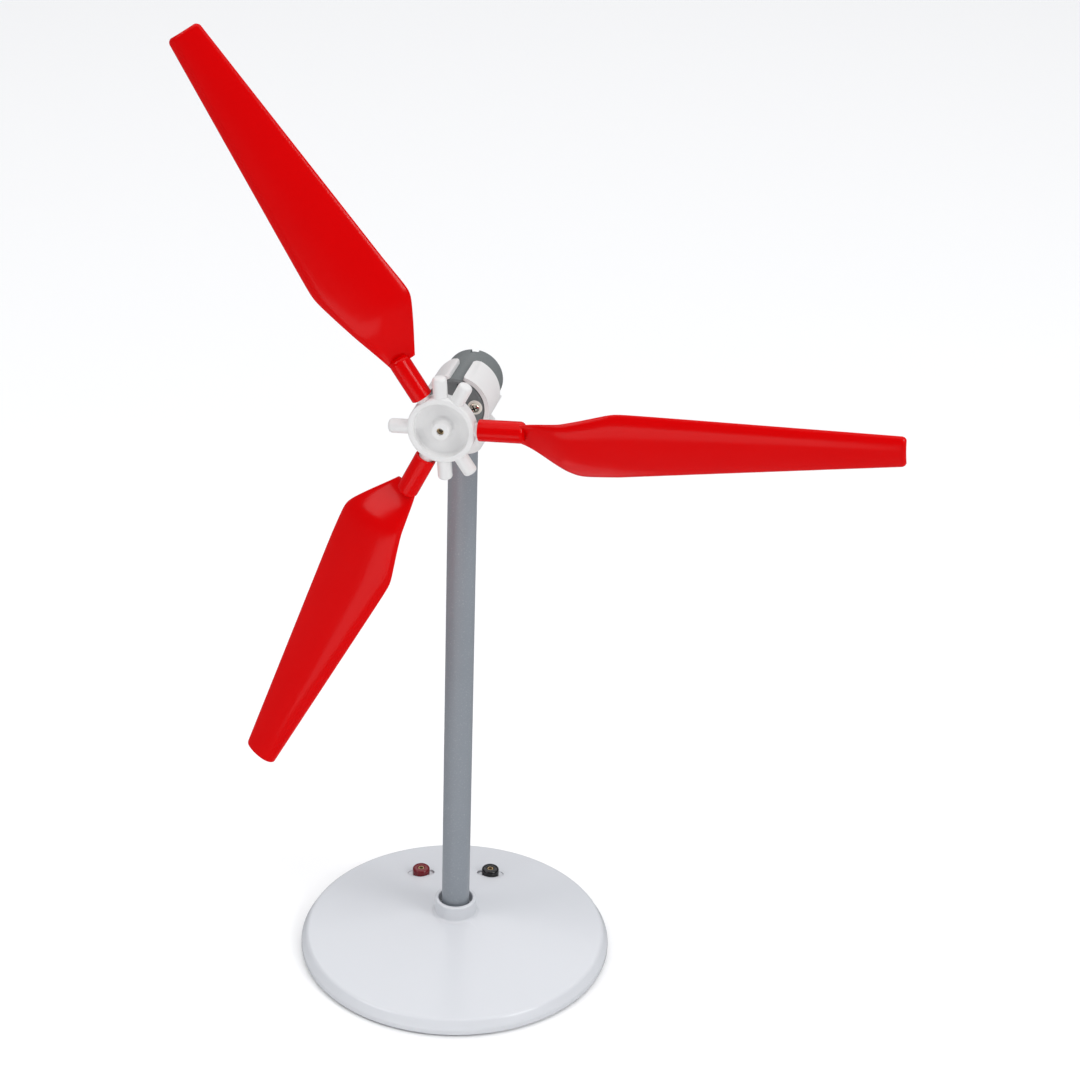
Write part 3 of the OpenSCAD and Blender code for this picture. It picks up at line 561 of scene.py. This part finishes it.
SEAT_Z = top_z(math.hypot(SOCKET_X, SOCKET_Y)) - POCKET_DEPTH
top_rings = [(r, top_z(r), 0) for r in (60, 54, 49, 46, 43, 40, 37, 34, 31, 27, 23, 19, 16)]
base = turned("moulded_base", [
    (BASE_R - WALL, SHELL_Z, 0.3), (BASE_R, SHELL_Z, 0.5), (BASE_R, SIDE_H, 2.5),
    (EDGE_R - 0.7, EDGE_H - 0.1, 2.6), *top_rings, (CROWN_R - 1, top_z(CROWN_R - 1), 1.6),
    (COLLAR_R, CROWN_H + 1.1, 1.0), (COLLAR_R, COLLAR_TOP, 1.1), (COLLAR_HOLE_R, COLLAR_TOP, 0.45),
    (COLLAR_HOLE_R, COLLAR_TOP - 5, 0.3), (MAST_R + RUN_GAP, COLLAR_TOP - 5, 0),
    (MAST_R + RUN_GAP, CROWN_H - WALL - 3, 0), (CROWN_R, CROWN_H - WALL, 0),
    (EDGE_R - EDGE_ROUND, EDGE_H - WALL, 1), (BASE_R - WALL, SIDE_H, 0.3)], in_base, steps=240, arc=10)
for side in (-1, 1):
    place = in_base @ Matrix.Translation((side * SOCKET_X, SOCKET_Y, 0))
    for name, outline, low, high in (
            ("pocket_cutter", pocket(), SEAT_Z, SEAT_Z + CUT_PAST),
            ("seat_cutter", disc(SEAT_HOLE_R), SEAT_Z - 0.02, SEAT_Z + CUT_PAST),
            ("shank_cutter", disc(SHANK_HOLE_R), SEAT_Z - CUT_PAST, SEAT_Z + 1)):
        cut(base, piece_from(name, prism(outline, low, high), place))
resharpen(base, 30)
dress(base, "stand", "white_plastic", GLOSS_WHITE, "base_shell")

# ---------- sockets ----------

SOCKET_R, SHANK_R = 4.0, 2.5
CONTACT_R, MOUTH_R = 1.6, 1.25
SHANK_END = SEAT_Z - 5.2
SOCKET_TOP = span("red_socket_body")[1].z
for side, colour, slot, finish in ((-1, "red", "red_socket_plastic", SOCKET_RED),
                                   (1, "black", "black_plastic", SOCKET_BLACK)):
    place = in_base @ Matrix.Translation((side * SOCKET_X, SOCKET_Y, 0))
    body = turned(colour + "_socket_head", [
        (CONTACT_R, SHANK_END, 0), (SHANK_R, SHANK_END, 0.2), (SHANK_R, SEAT_Z, 0),
        (SOCKET_R, SEAT_Z, 0.25), (SOCKET_R, SOCKET_TOP, 1.3), (1.75, SOCKET_TOP, 0.35),
        (MOUTH_R, SOCKET_TOP - 0.45, 0.1), (MOUTH_R, SOCKET_TOP - 0.55, 0),
        (CONTACT_R, SOCKET_TOP - 0.55, 0)], place, steps=72)
    dress(body, "stand", slot, finish, colour + "_socket_body")

# ---------- hub ----------

HUB_R = 13.85
HUB_DEPTH = 6.2
HUB_LEAD = 24.2
BACK_BOSS = 12.3
HUB_Y = FACE_Y - HUB_LEAD
PEG_Y = HUB_Y + HUB_DEPTH / 2
RIM_IN = HUB_R - 2.5
BOSS_R = 3.65
BORE_R = 1.9
PEG_R = 2.95
PEG_SWELL = 0.12
PEG_FOOT = HUB_R - 2
PEG_TOP = HUB_R + 8.2
PEG_ANGLES = (0, 60, 90, 120, 180, 240, 270, 300)
HUB_MOUTH_R = 1.5
turn_rotor = Matrix.Rotation(-ROTOR_TURN, 4, "Y")
spin = Matrix.Translation((0, 0, AXIS_Z)) @ turn_rotor @ Matrix.Translation((0, 0, -AXIS_Z))
back = HUB_DEPTH + BACK_BOSS
hub_corners = [
    (HUB_MOUTH_R, -0.8, 0.25), (BOSS_R, -0.8, 0.6), (BOSS_R + 0.35, 3.6, 1.0), (8.2, 3.3, 3),
    (RIM_IN - 0.1, 2.7, 1.0), (RIM_IN, 0, 0.5), (HUB_R, 0, 0.7), (HUB_R, HUB_DEPTH, 0.6),
    (HUB_R - 3, HUB_DEPTH, 0.3), (HUB_R - 3.4, HUB_DEPTH - 0.8, 0.3),
    (BOSS_R + 1.4, HUB_DEPTH - 0.8, 1.2), (BOSS_R + 0.6, back - 0.5, 0.2),
    (BOSS_R, back, 0.4), (BORE_R, back, 0.3), (BORE_R, 0.5, 0), (HUB_MOUTH_R, 0.3, 0)]
hub = turned("hub_moulding", hub_corners, spin @ along_axis(HUB_Y), steps=144, arc=8)
peg_corners = [(0, PEG_FOOT, 0), (PEG_R + PEG_SWELL, PEG_FOOT, 0), (PEG_R, HUB_R + 0.9, 0.4),
               (PEG_R, PEG_TOP, 2.6), (0, PEG_TOP, 0)]
pegs = [turned("peg", peg_corners, out_of_hub(PEG_Y, math.radians(a)), steps=48, arc=8)
        for a in PEG_ANGLES]
join_pieces(hub, *pegs)
dress(hub, "rotor", "white_plastic", SATIN_WHITE, "rotor_hub")

# ---------- motor screws ----------

SCREW_PITCH_R = HOUSING_R - 3.9
WASHER_IN, WASHER_OUT, WASHER_T = 1.7, 3.05, 0.5
THREAD_R, THREAD_LEN = 1.25, 4
HEAD_R, HEAD_TOP = 2.1, 1.9
CROSS_X, CROSS_Y = 1.35, 0.33
washer_corners = [(WASHER_IN, 0, 0.1), (WASHER_OUT, 0, 0.15), (WASHER_OUT, WASHER_T, 0.25),
                  (WASHER_IN, WASHER_T, 0.1)]
screw_corners = [(0, -THREAD_LEN, 0), (THREAD_R, -THREAD_LEN, 0.3), (THREAD_R, WASHER_T, 0),
                 (HEAD_R, WASHER_T, 0.15), (HEAD_R, 1.3, 0.8), (0.9, HEAD_TOP, 1.2), (0, HEAD_TOP, 0)]
# A thin dark disc at the floor of each screw's cross recess: painted shade, a dark sheet where the
# recess is only in shade.
recess_shade_corners = [(0, 0.7, 0), (1.3, 0.7, 0.1), (1.3, 0.8, 0.02), (0, 0.8, 0)]
cross_bar = [(-CROSS_X, -CROSS_Y), (CROSS_X, -CROSS_Y), (CROSS_X, CROSS_Y), (-CROSS_X, CROSS_Y)]
for number, angle in ((1, -7), (2, 173)):
    place = along_axis(FACE_Y) @ Matrix.Rotation(math.radians(angle), 4, "Z")
    place = place @ Matrix.Translation((SCREW_PITCH_R, 0, 0)) @ Matrix.Rotation(math.pi, 4, "X")
    washer = turned("motor_washer_%d" % number, washer_corners, place, steps=64)
    # The washer gets the flat cream finish, a painted highlight for its nickel reflection.
    dress(washer, "head", "nickel", PAINTED_NICKEL_HIGHLIGHT, "motor_screws")
    head = turned("motor_screw_%d" % number, screw_corners, place, steps=64)
    for turn in (20, 110):
        bar_place = place @ Matrix.Rotation(math.radians(turn), 4, "Z")
        cut(head, piece_from("cross_cutter", prism(cross_bar, 0.75, 3), bar_place))
    resharpen(head, 35)
    dress(head, "head", "nickel", NICKEL, "motor_screws")
    # Dark disc in the cross recess: painted shade.
    recess_shade = turned("motor_screw_recess_%d" % number, recess_shade_corners, place, steps=48)
    dress(recess_shade, "head", "nickel", CARBON_AND_PAINTED_SHADE, "motor_screws")

# ---------- cradle ----------

CRADLE_IN = HOUSING_R + RUN_GAP
CRADLE_WALL = 1.75
CRADLE_MID = CRADLE_IN + CRADLE_WALL / 2
ARM_LEN = 19.6
SADDLE_LEN = 2 * -FACE_Y
SADDLE_DROP = 5.1
ARM_TOP_DEG = 103
BEND_DEG = 4
CRADLE_OUT = CRADLE_IN + CRADLE_WALL
saddle_end = 180 + math.degrees(math.asin(SADDLE_DROP / CRADLE_OUT))


def cradle_shell():
    """The cradle's wall, cut flat with its corners rounded and then bent round the housing."""
    def arc(degrees):
        """Length round the wall from its lowest line."""
        return math.radians(degrees - 270) * CRADLE_MID
    left, right = arc(ARM_TOP_DEG), arc(540 - ARM_TOP_DEG)
    saddle_l, saddle_r = arc(saddle_end), arc(540 - saddle_end)
    outline = soft_corners([
        (left, 0, 1.2), (right, 0, 1.2), (right, ARM_LEN, 2.6), (saddle_r, ARM_LEN, 1.5),
        (saddle_r, SADDLE_LEN, 1.2), (saddle_l, SADDLE_LEN, 1.2), (saddle_l, ARM_LEN, 1.5),
        (left, ARM_LEN, 2.6)], 6)
    shape = prism(outline, -CRADLE_WALL / 2, CRADLE_WALL / 2)
    rims = [e for e in shape.edges if abs(e.verts[0].co.z - e.verts[1].co.z) < 1e-6]
    bmesh.ops.bevel(shape, geom=rims, offset=0.45, segments=3, affect="EDGES", profile=0.5)
    step = math.radians(BEND_DEG) * CRADLE_MID
    for k in range(int(left / step), int(right / step) + 1):
        bmesh.ops.bisect_plane(shape, geom=shape.verts[:] + shape.edges[:] + shape.faces[:],
                               plane_co=(k * step, 0, 0), plane_no=(1, 0, 0))
    for v in shape.verts:
        a = v.co.x / CRADLE_MID + math.radians(270)
        r = CRADLE_MID + v.co.z
        v.co = Vector((r * math.cos(a), FACE_Y + v.co.y, AXIS_Z + r * math.sin(a)))
    return shape


cradle = piece_from("motor_cradle_moulding", cradle_shell(), sharp=40)
neck_z = span("motor_cradle")[0].z
NECK_R = MAST_R + RUN_GAP + 1.15
FUNNEL_R = -FACE_Y - 0.7
KEEL_HALF, KEEL_H = 4.5, 4
TUBE_BORE_R = MAST_R + RUN_GAP
neck_floor = mast_high.z + 0.5
ledge_z = AXIS_Z - CRADLE_IN - CRADLE_WALL + 1.7
keel_z = AXIS_Z - CRADLE_IN - CRADLE_WALL - 1.4
neck = turned("neck", [
    (TUBE_BORE_R, neck_z, 0.2), (NECK_R, neck_z, 0.5), (FUNNEL_R, ledge_z, 0.35),
    (MAST_R - 1, ledge_z, 0), (MAST_R - 1, neck_floor, 0), (TUBE_BORE_R, neck_floor, 0)], steps=96)
keel_front, keel_back = FACE_Y + 1.5, -FACE_Y - 0.2
keel_outline = [(-KEEL_HALF, keel_front), (KEEL_HALF, keel_front), (KEEL_HALF, keel_back),
                (-KEEL_HALF, keel_back)]
keel = piece_from("keel", prism(keel_outline, keel_z, keel_z + KEEL_H))


def plug(name, radius, low, high, **settings):
    """A round cutter from low to high."""
    return turned(name, [(0, low, 0), (radius, low, 0), (radius, high, 0), (0, high, 0)], **settings)


cut(keel, plug("keel_bore", NECK_R - 0.3, 200, 400, steps=64))
for part in (neck, keel):
    cut(part, plug("housing_cutter", CRADLE_IN + 0.02, -5, 60, place=along_axis(FACE_Y - 5), steps=128))
    resharpen(part, 35)
join_pieces(neck, keel)
join_pieces(cradle, neck)
dress(cradle, "head", "white_plastic", SATIN_WHITE, "motor_cradle")

# ---------- blades ----------

TIP_R = 184.0
SHOULDER_R, ELBOW_R = 58.0, 71.0
SHOULDER_C, ELBOW_C = 19.0, 14.6
TIP_C_REAR, TIP_C_FRONT = 6.4, 8.0
BLADE_T = 1.8
CAMBER, CAMBER_RUN = 0.09, 24
BOW, BOW_RUN = 4.0, 20
LIP, LIP_RUN, LIP_WIDTH = 1.3, 16, 1.7
NOSE = 0.9
TIP_PITCH, ROOT_PITCH = 17.0, 26.0
ROOT_R0 = HUB_R + 1.2
ROOT_R1 = ROOT_R0 + 19
ROOT_R2 = ROOT_R1 - 3
TUBE_R = 4.4
TIP_ROUND = 2.0


def line(r, r0, c0, r1, c1):
    """Straight edge through (r0, c0) and (r1, c1), at r."""
    return c0 + (c1 - c0) * (r - r0) / (r1 - r0)


def soft_min(a, b, k):
    """The lower of two edges, with the corner between them rounded by k."""
    return (a + b - math.sqrt((a - b) ** 2 + k * k)) / 2


def ease(t):
    """Rises smoothly from 0 to 1."""
    t = max(0.0, min(1.0, t))
    return t * t * (3 - 2 * t)


def rear_edge(r):
    """Distance of the shoulder edge from the peg's line."""
    return soft_min(line(r, ROOT_R2, TUBE_R + 2.4, SHOULDER_R - 4, SHOULDER_C + 0.9),
                    line(r, SHOULDER_R - 4, SHOULDER_C + 0.9, TIP_R, TIP_C_REAR), 1.8)


def front_edge(r):
    """Distance of the elbow edge from the peg's line."""
    return soft_min(line(r, ROOT_R2, TUBE_R - 0.2, ELBOW_R, ELBOW_C + 0.5),
                    line(r, ELBOW_R, ELBOW_C + 0.5, TIP_R, TIP_C_FRONT), 1.0)


def tip_in(r):
    """How far the tip's rounded corners draw an edge in."""
    over = max(0.0, r - TIP_R + TIP_ROUND)
    return TIP_ROUND - math.sqrt(max(0.0, TIP_ROUND ** 2 - over ** 2))


def blade_point(r, u, side):
    """A point of the blade's skin: r out from the axis, u from the elbow edge to the shoulder edge,
    side +1 for the front face and -1 for the back."""
    rear, front = rear_edge(r) - tip_in(r), front_edge(r) - tip_in(r)
    chord = rear + front
    c = -front + chord * u
    camber = CAMBER * chord * ease((r - ROOT_R2) / CAMBER_RUN)
    bow = BOW * ease((r - ROOT_R2) / BOW_RUN) * min(1.0, (TIP_R - r) / (TIP_R - SHOULDER_R))
    lip = LIP * ease((r - ROOT_R2) / LIP_RUN) * math.exp(-chord * u / LIP_WIDTH)
    end = max(0.0, r - TIP_R + NOSE) / NOSE
    thick = BLADE_T / 2 * math.sqrt(max(0.0, 1 - abs(2 * u - 1) ** 10))
    thick *= math.sqrt(max(0.0, 1 - end * end))
    h = bow + camber * (1 - (2 * u - 1) ** 2) - lip + side * thick
    pitch = math.radians(ROOT_PITCH + (TIP_PITCH - ROOT_PITCH)
                         * max(0.0, min(1.0, (r - ROOT_R1) / (ELBOW_R - ROOT_R1))))
    return (c * math.cos(pitch) + h * math.sin(pitch), c * math.sin(pitch) - h * math.cos(pitch), r)


def spread(start, stop, count):
    """Even steps from start, without stop."""
    return [start + (stop - start) * k / count for k in range(count)]


def blade_mesh():
    """The blade's skin, in a bmesh, with +Z out along the peg."""
    across = 40
    stations = (spread(ROOT_R2, ROOT_R1 + 2, 22) + spread(ROOT_R1 + 2, ELBOW_R + 8, 34)
                + spread(ELBOW_R + 8, TIP_R - TIP_ROUND, 34)
                + [TIP_R - TIP_ROUND + TIP_ROUND * math.sin(math.radians(a)) for a in range(0, 91, 9)])
    shape = bmesh.new()
    rings = []
    for r in stations:
        us = [(1 - math.cos(math.pi * k / across)) / 2 for k in range(across + 1)]
        ring = [shape.verts.new(blade_point(r, u, 1)) for u in us]
        ring += [shape.verts.new(blade_point(r, u, -1)) for u in us[-2:0:-1]]
        rings.append(ring)
    for ring, other in zip(rings, rings[1:]):
        for k in range(len(ring)):
            n = (k + 1) % len(ring)
            shape.faces.new([ring[k], ring[n], other[n], other[k]])
    shape.faces.new(rings[0])
    shape.faces.new(rings[-1])
    return shape


tube_corners = [(PEG_R + RUN_GAP, ROOT_R0, 0.2), (TUBE_R, ROOT_R0, 0.45), (TUBE_R, ROOT_R1, 3.4),
                (0, ROOT_R1, 0), (0, PEG_TOP + 2, 0), (PEG_R + RUN_GAP, PEG_TOP + 2, 0)]
for number, angle, own_turn in ((1, 0, 2.5), (2, 120, -5), (3, 240, 3)):
    place = out_of_hub(PEG_Y, math.radians(angle)) @ Matrix.Rotation(math.radians(own_turn), 4, "Z")
    name = "blade_%d" % number
    skin = piece_from(name + "_moulding", blade_mesh(), place, sharp=60)
    tube = turned("tube", tube_corners, place, steps=96, arc=10)
    join_pieces(skin, tube)
    dress(skin, name, "red_plastic", BLADE_RED, name)

# ---------- wires ----------

WIRE_R = 0.6
WIRE_X = 1.0
plate_top = mast_low.z
plug_z = span("red_socket_contact")[0].z
bell_back = span("motor_end_bell")[1].y
channel_z = AXIS_Z - HOUSING_R + 0.5
terminal_x, terminal_y, terminal_z = 5.0, bell_back + 0.9, AXIS_Z - 1.2
bend_end = mast_high.z - 20


def wire_route(side):
    """Route of one wire: socket tag, mast foot, up the mast, channel under the housing, terminal."""
    foot = [(side * SOCKET_X, SOCKET_Y - 3.5, plug_z + 0.3),
            (side * SOCKET_X, SOCKET_Y - 6, plug_z + 0.3),
            (side * (SOCKET_X - 3), SOCKET_Y - 12, plate_top + 1.2), (side * 8, 20, plate_top + 1.2),
            (side * 2.4, 12, plate_top + 1.2), (side * WIRE_X, 7, plate_top + 1.6),
            (side * WIRE_X, 2.5, plate_top + 3.2), (side * WIRE_X, 0.6, plate_top + 6),
            (side * WIRE_X, 0, plate_top + 10)]
    head = [(side * WIRE_X, 0, bend_end), (side * WIRE_X, 0, mast_high.z - 3),
            (side * WIRE_X, 0.6, neck_floor + 1), (side * WIRE_X, 2.4, channel_z - 1.6),
            (side * WIRE_X, 5, channel_z - 1.1), (side * WIRE_X, terminal_y - 4, channel_z - 1.1),
            (side * WIRE_X, terminal_y - 0.9, channel_z - 0.4),
            (side * 1.4, terminal_y, channel_z + 2),
            (side * 3, terminal_y, channel_z + 5), (side * terminal_x, terminal_y, terminal_z - 4),
            (side * terminal_x, terminal_y, terminal_z - 1.6)]
    low, high = foot[-1][2], head[0][2]
    rise = [(side * WIRE_X, 0, low + (high - low) * k / 24) for k in range(1, 24)]
    return [in_base @ Vector(p) for p in foot] + [Vector(p) for p in rise + head]


def swept_tube(route, radius, sides=12):
    """A round tube, in a bmesh, along a route of points."""
    shape = bmesh.new()
    rings = []
    side_way = Vector((1, 0, 0))
    for i, point in enumerate(route):
        along = (route[min(i + 1, len(route) - 1)] - route[max(i - 1, 0)]).normalized()
        side_way = (side_way - along * side_way.dot(along)).normalized()
        other_way = along.cross(side_way)
        turns = [2 * math.pi * k / sides for k in range(sides)]
        rings.append([shape.verts.new(point + radius * (math.cos(a) * side_way
                                                        + math.sin(a) * other_way)) for a in turns])
    for ring, after in zip(rings, rings[1:]):
        for k in range(sides):
            n = (k + 1) % sides
            shape.faces.new([ring[k], ring[n], after[n], after[k]])
    shape.faces.new(rings[0])
    shape.faces.new(rings[-1])
    return shape


for side, colour, finish in ((-1, "red", WIRE_RED), (1, "black", WIRE_BLACK)):
    wire = piece_from(colour + "_insulated_wire", swept_tube(wire_route(side), WIRE_R))
    dress(wire, None, colour + "_insulation", finish, colour + "_wire")
    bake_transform(wire)
